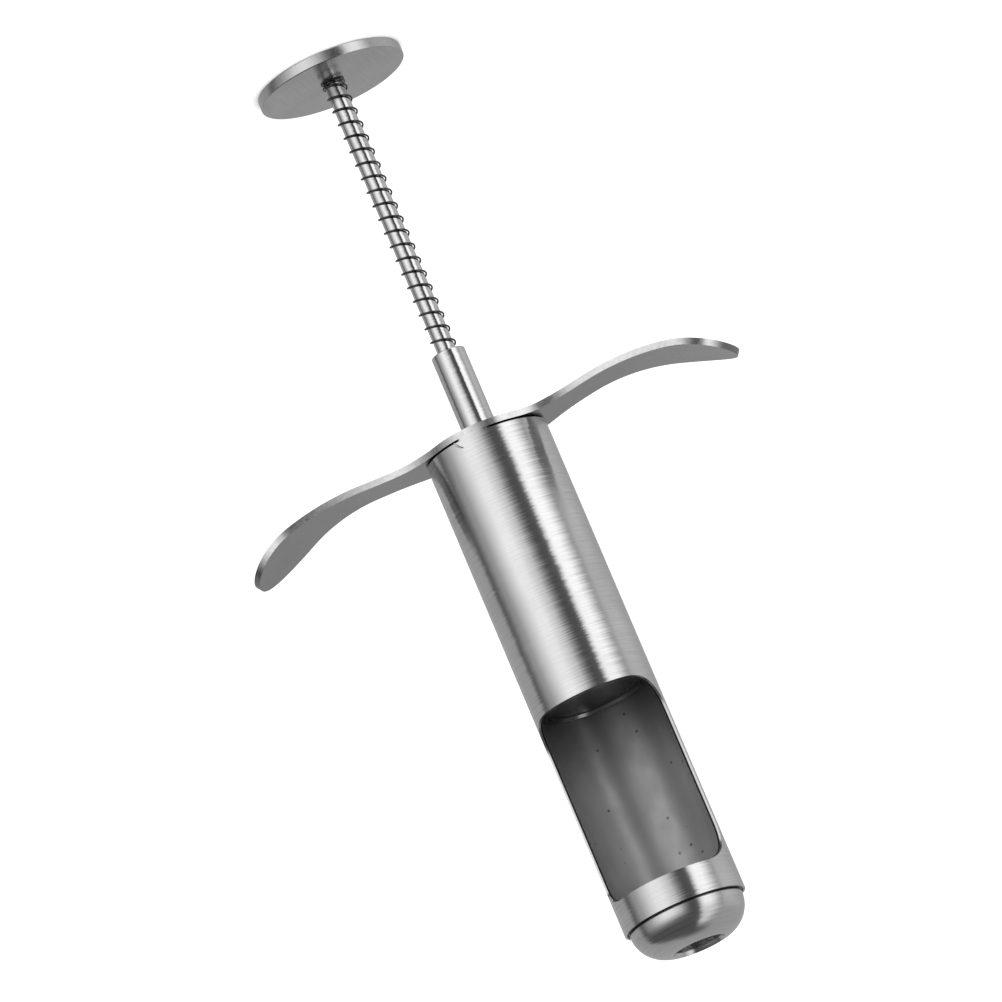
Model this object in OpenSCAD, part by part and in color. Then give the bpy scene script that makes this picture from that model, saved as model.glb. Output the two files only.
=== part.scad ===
// Meat injector: a windowed tube with a domed nose, a sprung plunger and a winged finger grip.
// It stands on its palm disc: Z runs from the palm face (Z = 0) to the nose, the wings lie along X,
// and the loading window faces -Y.

/* [Barrel] */
// Outside diameter of the tube
barrel_d = 38; // [34:0.5:44]
// Wall thickness of the tube
barrel_wall = 1.2; // [1:0.1:2]
// Length of the tube
barrel_l = 153.6; // [140:0.1:190]

/* [Window] */
// Length of the loading window along the tube
window_l = 59.6; // [40:0.1:64]
// Band of whole tube left between the window and the nose
window_band = 9; // [8:0.1:14]
// Radius of the window's corners, seen from the side
window_corner_r = 12; // [4:0.5:14]
// Distance from the tube's axis to the flat bottom of the window cut
window_offset = 1.6; // [0.5:0.1:8]

/* [Nose cap] */
// How far the cap stands out of the tube
nose_h = 10.7; // [10:0.1:14]
// Diameter of the hole in the nose
nose_hole_d = 15.3; // [10:0.1:18]
// Length of the straight part of the hole
nose_hole_l = 5; // [3:0.5:6]

/* [Finger grip] */
// Thickness of the strip
grip_t = 2; // [1.5:0.1:3]
// Distance from the axis to the centre of each rounded wing end
wing_end_x = 66.8; // [60:0.1:67]
// Radius of each rounded wing end
wing_end_r = 13.7; // [12:0.1:14]
// Distance from the axis to the narrowest place of each wing
wing_neck_x = 31; // [28:0.5:34]
// Half the width of the narrowest place
wing_neck_r = 7.8; // [6:0.1:9]
// Mean distance from the axis to the two bends beside the tube
wing_bend_x = 20.7; // [20.5:0.1:22.5]
// How much nearer to the axis the -X bend is, and how much further out the +X bend
wing_bend_shift = 2.5; // [0:0.1:2.5]
// Upward bend beside the tube, in degrees
wing_rise = 5.25; // [3:0.05:8]
// Extra bend of the -X wing and missing bend of the +X wing, in degrees
wing_skew = 2.75; // [0:0.05:2.9]
// Radius of the downward curve of the wings
wing_curve_r = 65.5; // [64:0.5:80]
// Length of the straight stretch between the bend and the curve
wing_straight = 14.2; // [13:0.1:20]

/* [Guide sleeve] */
// Outside diameter of the sleeve
sleeve_d = 10.5; // [9.6:0.1:12]
// Bore of the sleeve
sleeve_bore = 8; // [7.8:0.1:8.6]
// Length of the sleeve
sleeve_l = 28.2; // [20:0.1:40]

/* [Plunger] */
// Diameter of the rod
rod_d = 5.8; // [5.6:0.05:6]
// Diameter of the palm disc
palm_d = 46; // [40:1:60]
// Thickness of the palm disc
palm_t = 3.4; // [3:0.1:5]
// Bare rod between the palm disc and the sleeve
rod_bare = 91.2; // [80:0.1:110]
// Gap between the piston's front edge and the window
piston_park = 0.1; // [0:0.1:4]
// Length of the piston
piston_l = 10; // [9:0.5:16]
// Radius of the piston's front edge
piston_edge_r = 2.5; // [1:0.5:3]
// Depth of the hollow in the piston's face
piston_dish = 1.2; // [0.5:0.1:2]

/* [Spring] */
// Diameter of the spring's wire
wire_d = 0.6; // [0.5:0.05:0.6]
// Outside diameter of the spring
spring_d = 7.5; // [7.3:0.05:7.6]
// Distance from turn to turn
spring_pitch = 4.6; // [3:0.1:8]
// Closed turns at each end
spring_closed = 1; // [1:0.5:3]

/* [Hidden] */
$fn = 96;

barrel_r = barrel_d / 2;
bore_r = barrel_r - barrel_wall;

// How far a cut runs past the faces that it leaves open
past = 1;
// Gap between parts that all but touch
close_gap = 0.05;

// Levels along the axis, from the palm face to the nose
sleeve_z = palm_t + rod_bare;
grip_z = sleeve_z + sleeve_l;
barrel_z = grip_z + grip_t;
mouth_z = barrel_z + barrel_l;
nose_z = mouth_z + nose_h;
window_z0 = mouth_z - window_band - window_l;
window_z1 = mouth_z - window_band;
piston_z1 = window_z0 - piston_park;
piston_z0 = piston_z1 - piston_l;

// Cap, gasket and thread ring in the tube's mouth
cap_r = bore_r - close_gap;
cap_dome_r = cap_r - nose_hole_d / 2;
cap_seat = 2;
gasket_t = 1;
gasket_gap = 0.2;
thread_r = bore_r - 2.4;
thread_l = 4.4;
thread_gap = 0.06;
overlap = 0.01;
cap_funnel_r = thread_r - 2.4;
hole_chamfer = 0.5;

// Bends of the strip
wing_bend_r = 30;
wing_curve_angle = 54;
bend_steps = 3;
curve_steps = 16;

// Plunger
spigot_d = 5;
plug_weld_l = 1;
palm_edge = 0.4;
piston_gap = 0.1;
seal_wire_d = 2;
seal_groove_w = 2.4;
seal_groove_r = bore_r - 2.1;
piston_thread_l = 7;
piston_lip = 0.3;
dish_draft = 0.3;
lock_washer_t = 1;
lock_washer_d = 9.2;
lock_nut_t = 4;
lock_nut_af = 8;
rod_end_z = piston_z0 - lock_washer_t - lock_nut_t;

// Stop under the strip
stop_gap = 0.1;
stop_washer_t = 1;
stop_washer_d = 12;
stop_clip_t = 0.8;
stop_clip_d = 10.4;
stop_clip_mouth = 4.2;
clip_z = barrel_z + stop_gap + stop_washer_t + close_gap;

// Bush, sleeve and welds
bush_l = 8;
bush_z = barrel_z - bush_l;
running_gap = 0.06;
sleeve_chamfer = 0.4;
sleeve_bead = 0.5;
weld_bevel = 0.6;
weld_angle = 38;

// Spring
spring_r = (spring_d - wire_d) / 2;
spring_l = bush_z - palm_t;
coil_gap = 0.036;
closed_pitch = wire_d + coil_gap;
ramp_turns = 3;
ramp_start = 0.8;
spring_steps = 16;
wire_sides = 4;
spring_phase = -45;

// A ring between two radii, standing on level z
module ring(r_out, r_in, z, h) {
    translate([0, 0, z])
        difference() {
            cylinder(r = r_out, h = h);
            translate([0, 0, -past]) cylinder(r = r_in, h = h + 2 * past);
        }
}

// ---- Barrel ----

// Side outline of the window cut, with Y across and Z along the tube
module window_outline() {
    cut_d = barrel_r - window_offset + past;
    difference() {
        translate([-barrel_r - past, window_z0]) square([cut_d, window_l]);
        for (end = [0, 1])
            translate([
                -window_offset - window_corner_r,
                end ? window_z1 - window_corner_r : window_z0 + window_corner_r
            ])
                mirror([0, end ? 0 : 1])
                    difference() {
                        square(window_corner_r + past);
                        circle(r = window_corner_r);
                    }
    }
}

module window_cut() {
    rotate([90, 0, 90])
        linear_extrude(height = barrel_d + 2 * past, center = true) window_outline();
}

module barrel_tube() {
    color("silver")
        difference() {
            rotate_extrude()
                polygon([
                    [bore_r, barrel_z], [barrel_r - weld_bevel, barrel_z],
                    [barrel_r, barrel_z + weld_bevel], [barrel_r, mouth_z], [bore_r, mouth_z]
                ]);
            window_cut();
        }
}

module thread_ring() {
    color("silver")
        ring(bore_r, thread_r, mouth_z - cap_seat - gasket_t - thread_l, thread_l);
}

// ---- Nose cap ----

module nose_cap() {
    hole_r = nose_hole_d / 2;
    spigot_r = thread_r - thread_gap;
    spigot_z = mouth_z - cap_seat - gasket_t - thread_l;
    funnel_z = mouth_z - cap_seat;
    color("silver")
        difference() {
            union() {
                translate([0, 0, spigot_z]) cylinder(r = spigot_r, h = nose_z - spigot_z - cap_dome_r);
                translate([0, 0, mouth_z - cap_seat]) cylinder(r = cap_r, h = cap_seat + nose_h - cap_dome_r);
                rotate_extrude()
                    translate([hole_r, nose_z - cap_dome_r])
                        intersection() {
                            circle(r = cap_dome_r);
                            translate([-hole_r, 0]) square([cap_r, cap_dome_r]);
                        }
                translate([0, 0, nose_z - cap_dome_r]) cylinder(r = hole_r + overlap, h = cap_dome_r);
            }
            rotate_extrude()
                polygon([
                    [0, spigot_z - past], [cap_funnel_r, spigot_z - past], [cap_funnel_r, funnel_z],
                    [hole_r, nose_z - nose_hole_l], [hole_r, nose_z - hole_chamfer],
                    [hole_r + hole_chamfer, nose_z], [hole_r + hole_chamfer, nose_z + past],
                    [0, nose_z + past]
                ]);
        }
}

module nose_gasket() {
    color("whitesmoke")
        ring(bore_r - gasket_gap, thread_r, mouth_z - cap_seat - gasket_t, gasket_t);
}

// ---- Finger grip ----

// Outline from above: round centre, two concave flanks on each side of each wing, round ends
module grip_outline() {
    // Flank arcs are tangent to the wing end and to the centre disc
    outer_r = ((wing_end_x - wing_neck_x) ^ 2 + wing_neck_r ^ 2 - wing_end_r ^ 2)
        / (2 * (wing_end_r - wing_neck_r));
    inner_r = (wing_neck_x ^ 2 + wing_neck_r ^ 2 - barrel_r ^ 2) / (2 * (barrel_r - wing_neck_r));
    outer_k = wing_end_r / (outer_r + wing_end_r);
    inner_k = barrel_r / (inner_r + barrel_r);
    end_t = [wing_end_x - (wing_end_x - wing_neck_x) * outer_k, (wing_neck_r + outer_r) * outer_k];
    centre_t = [wing_neck_x * inner_k, (wing_neck_r + inner_r) * inner_k];
    circle(r = barrel_r);
    for (side = [-1, 1])
        mirror([side < 0 ? 1 : 0, 0]) {
            translate([wing_end_x, 0]) circle(r = wing_end_r);
            difference() {
                polygon([
                    [0, -centre_t[1]], [centre_t[0], -centre_t[1]], [end_t[0], -end_t[1]],
                    [wing_end_x, -end_t[1]], [wing_end_x, end_t[1]],
                    [end_t[0], end_t[1]], [centre_t[0], centre_t[1]], [0, centre_t[1]]
                ]);
                for (flank = [-1, 1]) {
                    translate([wing_neck_x, flank * (wing_neck_r + outer_r)])
                        intersection() {
                            circle(r = outer_r, $fn = 180);
                            translate([0, -outer_r]) square([outer_r, 2 * outer_r]);
                        }
                    translate([wing_neck_x, flank * (wing_neck_r + inner_r)])
                        intersection() {
                            circle(r = inner_r);
                            translate([-inner_r, -inner_r]) square([inner_r, 2 * inner_r]);
                        }
                }
            }
        }
}

// Middle line of one wing as [x, z, heading]: a bend towards the palm, then a long curve to the nose
function bend_path(bend_x, rise) = [
    for (i = [0:bend_steps])
        let (a = rise * i / bend_steps)
        [
            bend_x + wing_bend_r * (sin(a) - tan(rise / 2)),
            -wing_bend_r * (1 - cos(a)),
            -a
        ]
];
function curve_path(start, rise) = [
    for (i = [0:curve_steps])
        let (a = wing_curve_angle * i / curve_steps - rise)
        [
            start[0] + wing_straight * cos(rise) + wing_curve_r * (sin(a) + sin(rise)),
            start[1] - wing_straight * sin(rise) + wing_curve_r * (cos(rise) - cos(a)),
            a
        ]
];
function wing_path(bend_x, rise) =
    let (bend = bend_path(bend_x, rise))
    concat(bend, curve_path(bend[bend_steps], rise));

// The line that runs beside a path at a given distance
function beside(path, gap) = [for (p = path) [p[0] - gap * sin(p[2]), p[1] + gap * cos(p[2])]];
function backward(list) = [for (i = [len(list) - 1:-1:0]) list[i]];

function mirrored(list) = [for (p = list) [-p[0], p[1]]];

// Side outline of the whole strip
module grip_side() {
    right = wing_path(wing_bend_x + wing_bend_shift, wing_rise - wing_skew);
    left = wing_path(wing_bend_x - wing_bend_shift, wing_rise + wing_skew);
    half_t = grip_t / 2;
    polygon(concat(
        beside(right, half_t), backward(beside(right, -half_t)),
        mirrored(beside(left, -half_t)), backward(mirrored(beside(left, half_t)))
    ));
}

module finger_grip() {
    color("silver")
        difference() {
            intersection() {
                translate([0, 0, grip_z + grip_t / 2])
                    rotate([90, 0, 0])
                        linear_extrude(height = 2 * (barrel_r + past), center = true) grip_side();
                translate([0, 0, grip_z - wing_end_x])
                    linear_extrude(height = 2 * wing_end_x) grip_outline();
            }
            translate([0, 0, grip_z - past]) cylinder(d = sleeve_bore, h = grip_t + 2 * past);
        }
}

module grip_weld(side) {
    rotate([0, 0, side * 90 - weld_angle / 2])
        rotate_extrude(angle = weld_angle)
            polygon([
                [barrel_r - weld_bevel, barrel_z], [barrel_r, barrel_z], [barrel_r, barrel_z + weld_bevel]
            ]);
}

module grip_weld_front() {
    color("silver") grip_weld(-1);
}

module grip_weld_back() {
    color("silver") grip_weld(1);
}

// ---- Guide sleeve ----

module guide_sleeve() {
    r = sleeve_d / 2;
    color("silver")
        rotate_extrude()
            polygon([
                [sleeve_bore / 2, sleeve_z], [r - sleeve_chamfer, sleeve_z], [r, sleeve_z + sleeve_chamfer],
                [r, grip_z], [sleeve_bore / 2, grip_z]
            ]);
}

module sleeve_weld() {
    r = sleeve_d / 2;
    color("silver")
        rotate_extrude()
            polygon([[r, grip_z - sleeve_bead], [r + sleeve_bead, grip_z], [r, grip_z]]);
}

module rod_bush() {
    color("ivory")
        ring(sleeve_bore / 2, rod_d / 2 + running_gap, bush_z, bush_l);
}

// ---- Return spring ----

// Rise of the wire over the turns that open from the closed coils to the full pitch, and on from there
function open_rise(t, pitch) =
    let (s = min(t, ramp_turns))
    pitch * (ramp_start * s + (1 - ramp_start) * s * s / (2 * ramp_turns) + max(t - ramp_turns, 0));

// Rise of the wire from one end of the spring towards its middle
function half_rise(t, pitch) =
    closed_pitch * min(t, spring_closed) + open_rise(max(t - spring_closed, 0), pitch);

// Turns in one half of the spring, rounded to whole steps, and the pitch that then fills its length
half_l = spring_l / 2 - wire_d / 2;
lost_turns = spring_closed + ramp_turns * (1 - ramp_start) / 2;
open_l = half_l - closed_pitch * spring_closed;
half_turns = round((open_l / spring_pitch + lost_turns) * spring_steps) / spring_steps;
real_pitch = open_l / (half_turns - lost_turns);

// Rise of the wire along the whole spring
function wire_rise(t) =
    t < half_turns ? half_rise(t, real_pitch) : 2 * half_l - half_rise(2 * half_turns - t, real_pitch);

module return_spring() {
    rings = 2 * half_turns * spring_steps;
    flat_r = wire_d / 2;
    points = [
        for (i = [0:rings], j = [0:wire_sides - 1])
            let (
                turn = i / spring_steps,
                spin = spring_phase - 360 * turn,
                side = 360 * j / wire_sides,
                r = spring_r + flat_r * cos(side)
            )
            [r * cos(spin), r * sin(spin), palm_t + flat_r + wire_rise(turn) + flat_r * sin(side)]
    ];
    walls = [
        for (i = [0:rings - 1], j = [0:wire_sides - 1], half = [0, 1])
            let (
                a = i * wire_sides + j,
                b = i * wire_sides + (j + 1) % wire_sides
            )
            half ? [a, a + wire_sides, b + wire_sides] : [a, b + wire_sides, b]
    ];
    start = [for (j = [0:wire_sides - 1]) j];
    end = [for (j = [wire_sides - 1:-1:0]) rings * wire_sides + j];
    color("gray")
        polyhedron(points = points, faces = concat([start], walls, [end]), convexity = 10);
}

// ---- Plunger ----

module palm_disc() {
    r = palm_d / 2;
    color("silver")
        rotate_extrude()
            polygon([
                [spigot_d / 2, 0], [r - palm_edge, 0], [r, palm_edge], [r, palm_t - palm_edge],
                [r - palm_edge, palm_t], [spigot_d / 2, palm_t]
            ]);
}

module disc_plug_weld() {
    color("silver") cylinder(d = spigot_d, h = plug_weld_l);
}

module plunger_rod() {
    color("silver")
        difference() {
            union() {
                translate([0, 0, plug_weld_l])
                    cylinder(d = spigot_d, h = piston_z0 + piston_thread_l - plug_weld_l);
                translate([0, 0, palm_t]) cylinder(d = rod_d, h = rod_end_z - palm_t);
            }
            ring(rod_d, spigot_d / 2, clip_z, stop_clip_t);
        }
}

module stop_washer() {
    color("silver")
        ring(stop_washer_d / 2, rod_d / 2 + running_gap, barrel_z + stop_gap, stop_washer_t);
}

module stop_clip() {
    color("gray")
        difference() {
            ring(stop_clip_d / 2, spigot_d / 2, clip_z, stop_clip_t);
            translate([0, -stop_clip_mouth / 2, clip_z - past])
                cube([stop_clip_d, stop_clip_mouth, stop_clip_t + 2 * past]);
        }
}

module piston() {
    r = bore_r - piston_gap;
    groove_z = (piston_z0 + piston_z1 - seal_groove_w) / 2;
    dish_r = r - piston_edge_r - piston_lip;
    color("dimgray")
        difference() {
            rotate_extrude() {
                translate([0, piston_z0]) square([r, piston_l - piston_edge_r]);
                translate([0, piston_z0]) square([r - piston_edge_r, piston_l]);
                translate([r - piston_edge_r, piston_z1 - piston_edge_r])
                    intersection() {
                        circle(r = piston_edge_r, $fn = 48);
                        square(piston_edge_r);
                    }
            }
            ring(bore_r, seal_groove_r, groove_z, seal_groove_w);
            translate([0, 0, piston_z1 - piston_dish])
                cylinder(r1 = dish_r - dish_draft, r2 = dish_r + dish_draft, h = 2 * piston_dish);
            translate([0, 0, piston_z0 - past]) cylinder(d = spigot_d, h = piston_thread_l + past);
        }
}

module piston_seal() {
    color("white")
        translate([0, 0, (piston_z0 + piston_z1) / 2])
            rotate_extrude()
                translate([bore_r - close_gap - seal_wire_d / 2, 0]) circle(d = seal_wire_d, $fn = 32);
}

module piston_lock_washer() {
    color("silver")
        ring(lock_washer_d / 2, spigot_d / 2, piston_z0 - lock_washer_t, lock_washer_t);
}

module piston_lock_nut() {
    color("silver")
        translate([0, 0, rod_end_z])
            difference() {
                cylinder(d = lock_nut_af / cos(30), h = lock_nut_t, $fn = 6);
                translate([0, 0, -past]) cylinder(d = spigot_d, h = lock_nut_t + 2 * past);
            }
}

barrel_tube();
thread_ring();
finger_grip();
grip_weld_front();
grip_weld_back();
guide_sleeve();
sleeve_weld();
rod_bush();
return_spring();
nose_cap();
nose_gasket();
stop_washer();
stop_clip();
plunger_rod();
palm_disc();
disc_plug_weld();
piston();
piston_seal();
piston_lock_washer();
piston_lock_nut();
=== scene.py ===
"""Meat injector: detailed pieces, steel finishes, studio light and camera around the CAD frame.

Metres. The tool stands on its palm disc: Z runs from the palm face to the nose, the wings lie
along X and the loading window faces -Y.
"""

import math

import bmesh
import bpy
from mathutils import Matrix, Vector


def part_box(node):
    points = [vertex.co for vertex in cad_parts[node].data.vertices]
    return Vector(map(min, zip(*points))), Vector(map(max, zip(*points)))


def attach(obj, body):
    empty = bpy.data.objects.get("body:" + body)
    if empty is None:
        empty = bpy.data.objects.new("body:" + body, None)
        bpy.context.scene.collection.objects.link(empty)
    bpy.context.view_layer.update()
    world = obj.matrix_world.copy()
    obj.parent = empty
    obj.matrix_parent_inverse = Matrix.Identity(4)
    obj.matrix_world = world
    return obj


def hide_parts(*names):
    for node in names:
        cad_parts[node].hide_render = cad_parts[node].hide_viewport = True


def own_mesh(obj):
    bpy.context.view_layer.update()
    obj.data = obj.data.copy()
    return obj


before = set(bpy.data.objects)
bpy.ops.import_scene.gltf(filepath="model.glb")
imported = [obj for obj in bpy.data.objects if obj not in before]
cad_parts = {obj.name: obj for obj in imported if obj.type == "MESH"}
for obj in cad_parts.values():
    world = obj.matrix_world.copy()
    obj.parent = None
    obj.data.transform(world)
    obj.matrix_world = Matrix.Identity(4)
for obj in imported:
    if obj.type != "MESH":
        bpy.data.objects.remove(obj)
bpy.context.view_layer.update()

MM = 0.001


# ---- Sizes taken from the frame ----

TUBE_LOW, TUBE_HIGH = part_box("barrel_tube")
TUBE_R = TUBE_HIGH.x
WALL = 1.2 * MM
BORE_R = TUBE_R - WALL
MOUTH_Z = TUBE_HIGH.z
TUBE_Z = TUBE_LOW.z

WINDOW_TO_MOUTH = 9 * MM
WINDOW_LENGTH = 59.6 * MM
WINDOW_Z1 = MOUTH_Z - WINDOW_TO_MOUTH
WINDOW_Z0 = WINDOW_Z1 - WINDOW_LENGTH
WINDOW_CORNER = 12 * MM
WINDOW_OFFSET = 1.6 * MM

CAP_LOW, CAP_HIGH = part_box("nose_cap")
NOSE_Z = CAP_HIGH.z
CAP_R = CAP_HIGH.x
HOLE_R = 7.65 * MM

GRIP_T = 2 * MM
GRIP_MIDDLE = TUBE_Z - GRIP_T / 2

SLEEVE_LOW, SLEEVE_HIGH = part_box("guide_sleeve")
SLEEVE_R = SLEEVE_HIGH.x
SLEEVE_BORE = 4 * MM

PALM_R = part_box("palm_disc")[1].x
PALM_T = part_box("palm_disc")[1].z
ROD_R = 2.9 * MM
SPIGOT_R = 2.5 * MM

BUSH_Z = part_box("rod_bush")[0].z


# ---- Mesh helpers ----

SHARP = math.radians(50)


def new_object(name, mesh):
    piece = bpy.data.objects.new(name, mesh)
    bpy.context.scene.collection.objects.link(piece)
    return piece


def smooth(mesh, angle=35):
    """Smooth shading, with edges sharper than the angle kept crisp."""
    for face in mesh.polygons:
        face.use_smooth = True
    mesh.set_sharp_from_angle(angle=math.radians(angle))


def mesh_object(name, points, faces, angle=35):
    """A smooth-shaded object, with doubled points merged and its normals facing out."""
    mesh = bpy.data.meshes.new(name)
    mesh.from_pydata(points, [], faces)
    work = bmesh.new()
    work.from_mesh(mesh)
    bmesh.ops.remove_doubles(work, verts=work.verts, dist=1e-6)
    bmesh.ops.recalc_face_normals(work, faces=work.faces)
    work.to_mesh(mesh)
    work.free()
    smooth(mesh, angle)
    return new_object(name, mesh)


def rounded(corners, radii, steps=6):
    """A closed outline with each corner rounded to its radius. Zero keeps a corner sharp."""
    outline = []
    count = len(corners)
    for i, corner in enumerate(corners):
        here = Vector(corner)
        radius = radii[i]
        if radius == 0:
            outline.append(here)
            continue
        back = (Vector(corners[i - 1]) - here).normalized()
        ahead = (Vector(corners[(i + 1) % count]) - here).normalized()
        half = back.angle(ahead) / 2
        reach = radius / math.tan(half)
        centre = here + (back + ahead).normalized() * (radius / math.sin(half))
        first = here + back * reach - centre
        last = here + ahead * reach - centre
        turn = first.angle_signed(last)
        for k in range(steps + 1):
            a = -turn * k / steps
            spun = Vector((
                first.x * math.cos(a) - first.y * math.sin(a),
                first.x * math.sin(a) + first.y * math.cos(a),
            ))
            outline.append(centre + spun)
    return outline


def lathe(name, outline, sides=192):
    """Turns a closed (radius, height) outline about the Z axis."""
    points = []
    faces = []
    rings = len(outline)
    for k in range(sides):
        a = 2 * math.pi * k / sides
        for r, z in outline:
            points.append((r * math.cos(a), r * math.sin(a), z))
    for k in range(sides):
        here = k * rings
        there = (k + 1) % sides * rings
        for i in range(rings):
            j = (i + 1) % rings
            faces.append((here + i, there + i, there + j, here + j))
    return mesh_object(name, points, faces)


def round_edges(piece, radius, steps):
    """Rounds every sharp edge."""
    bevel = piece.modifiers.new("rounded_edges", "BEVEL")
    bevel.width = radius
    bevel.segments = steps
    bevel.limit_method = "ANGLE"
    bevel.angle_limit = SHARP
    bevel.harden_normals = True


def cut_away(piece, cutter):
    """Takes the cutter's shape out of a piece, and removes the cutter."""
    cut = piece.modifiers.new("cut", "BOOLEAN")
    cut.operation = "DIFFERENCE"
    cut.solver = "EXACT"
    cut.object = cutter
    bpy.context.view_layer.update()
    shown = piece.evaluated_get(bpy.context.evaluated_depsgraph_get())
    mesh = bpy.data.meshes.new_from_object(shown)
    piece.modifiers.clear()
    piece.data = mesh
    bpy.data.objects.remove(cutter)
    smooth(mesh)


def sweep(name, path, radius, sides=8, taper=0.0):
    """A round bar along a path of points. Taper narrows it towards both ends."""
    points = []
    faces = []
    count = len(path)
    for i, here in enumerate(path):
        along = (path[min(i + 1, count - 1)] - path[max(i - 1, 0)]).normalized()
        out = Vector((here.x, here.y, 0)).normalized()
        across = along.cross(out).normalized()
        out = across.cross(along)
        r = radius * (1 - taper * abs(2 * i / (count - 1) - 1) ** 2)
        for j in range(sides):
            a = 2 * math.pi * j / sides
            points.append(here + out * (r * math.cos(a)) + across * (r * math.sin(a)))
    for i in range(count - 1):
        for j in range(sides):
            a = i * sides + j
            b = i * sides + (j + 1) % sides
            faces.append((a, b, b + sides, a + sides))
    faces.append(tuple(range(sides)))
    faces.append(tuple((count - 1) * sides + j for j in range(sides)))
    return mesh_object(name, points, faces, 60)


def around(radius, turn, z=0.0):
    """A point on a circle about Z, by its turn from -Y towards +X."""
    return Vector((radius * math.sin(turn), -radius * math.cos(turn), z))


def finish_piece(piece, body, slot, material, *nodes):
    """Puts a finished piece on its body in place of its CAD nodes."""
    piece.data.materials.clear()
    piece.data.materials.append(material)
    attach(piece, body)
    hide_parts(*nodes)


# ---- Materials ----

def node_tree(name):
    material = bpy.data.materials.new(name)
    material.use_nodes = True
    tree = material.node_tree
    tree.nodes.clear()
    out = tree.nodes.new("ShaderNodeOutputMaterial")
    shader = tree.nodes.new("ShaderNodeBsdfPrincipled")
    tree.links.new(shader.outputs["BSDF"], out.inputs["Surface"])
    return material, tree, shader


def coordinates(tree, kind):
    """The texture coordinates of one kind, such as Object or Normal."""
    return tree.nodes.new("ShaderNodeTexCoord").outputs[kind]


def maths(tree, kind, operation, *values):
    """A Math or VectorMath node fed by one or two values."""
    node = tree.nodes.new("ShaderNode" + kind)
    node.operation = operation
    for socket, value in zip(node.inputs, values):
        tree.links.new(value, socket)
    return node


def around_axis(tree):
    """The direction round the Z axis at each point."""
    tangent = tree.nodes.new("ShaderNodeTangent")
    tangent.direction_type = "RADIAL"
    tangent.axis = "Z"
    return tangent.outputs["Tangent"]


def noise(tree, scale, detail=2.0, roughness=0.5):
    """Noise over the object's own coordinates. Scale gives the grains per metre along X, Y and Z."""
    stretch = tree.nodes.new("ShaderNodeMapping")
    stretch.inputs["Scale"].default_value = scale
    grain = tree.nodes.new("ShaderNodeTexNoise")
    grain.inputs["Scale"].default_value = 1.0
    grain.inputs["Detail"].default_value = detail
    grain.inputs["Roughness"].default_value = roughness
    tree.links.new(coordinates(tree, "Object"), stretch.inputs["Vector"])
    tree.links.new(stretch.outputs["Vector"], grain.inputs["Vector"])
    return grain.outputs["Fac"]


def spread(tree, value, low, high, start=0.3, end=0.7):
    """Maps a value from start..end to low..high."""
    node = tree.nodes.new("ShaderNodeMapRange")
    node.inputs["From Min"].default_value = start
    node.inputs["From Max"].default_value = end
    node.inputs["To Min"].default_value = low
    node.inputs["To Max"].default_value = high
    tree.links.new(value, node.inputs["Value"])
    return node.outputs["Result"]


def colour_ramp(tree, value, dark, light):
    """Colours noise from dark to light over its middle range."""
    ramp = tree.nodes.new("ShaderNodeValToRGB")
    first, last = ramp.color_ramp.elements
    first.position = 0.3
    first.color = (*dark, 1)
    last.position = 0.7
    last.color = (*light, 1)
    tree.links.new(value, ramp.inputs["Fac"])
    return ramp.outputs["Color"]


def grey_ramp(tree, value, dark, light):
    return colour_ramp(tree, value, (dark,) * 3, (light,) * 3)


def bump(tree, shader, relief, depth, after=None):
    """Puts a relief on the surface, on top of an already turned normal if there is one."""
    node = tree.nodes.new("ShaderNodeBump")
    node.inputs["Strength"].default_value = 1.0
    node.inputs["Distance"].default_value = depth
    tree.links.new(relief, node.inputs["Height"])
    if after is not None:
        tree.links.new(after, node.inputs["Normal"])
    tree.links.new(node.outputs["Normal"], shader.inputs["Normal"])


def sway(tree, value, amount):
    """The surface's normal, turned a little round the Z axis by a value."""
    push = maths(tree, "VectorMath", "SCALE", around_axis(tree))
    tree.links.new(spread(tree, value, -amount, amount), push.inputs["Scale"])
    normal = tree.nodes.new("ShaderNodeNewGeometry").outputs["Normal"]
    total = maths(tree, "VectorMath", "ADD", normal, push.outputs["Vector"])
    return maths(tree, "VectorMath", "NORMALIZE", total.outputs["Vector"]).outputs["Vector"]


def multiply(tree, first, *others):
    """The product of two or more values or colours."""
    for other in others:
        first = maths(tree, "VectorMath", "MULTIPLY", first, other).outputs["Vector"]
    return first


CLOUDING = 0.03


def steel(name, grey, rough, grain, depth, along=0.0, streak=0.06, wander=0.0):
    """Brushed steel. Grain gives the scratches per metre along each axis, and along draws the gloss
    out along the Z axis. Streaks vary the grey, and wander turns the normal round the Z axis."""
    material, tree, shader = node_tree(name)
    shader.inputs["Metallic"].default_value = 1.0
    shader.inputs["Anisotropic"].default_value = along
    shader.inputs["Anisotropic Rotation"].default_value = 0.25 if along else 0.0
    if along:
        tree.links.new(around_axis(tree), shader.inputs["Tangent"])
    scratches = noise(tree, grain, detail=4, roughness=0.6)
    clouds = noise(tree, (90, 90, 60), detail=3)
    base = grey_ramp(tree, clouds, grey - CLOUDING, grey + CLOUDING)
    base = multiply(tree, base, spread(tree, scratches, 1 - streak, 1 + streak))
    tree.links.new(base, shader.inputs["Base Color"])
    vary = 0.04
    tree.links.new(spread(tree, scratches, rough - vary, rough + vary), shader.inputs["Roughness"])
    bump(tree, shader, scratches, depth, after=sway(tree, scratches, wander) if wander else None)
    return material, tree, shader


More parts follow.
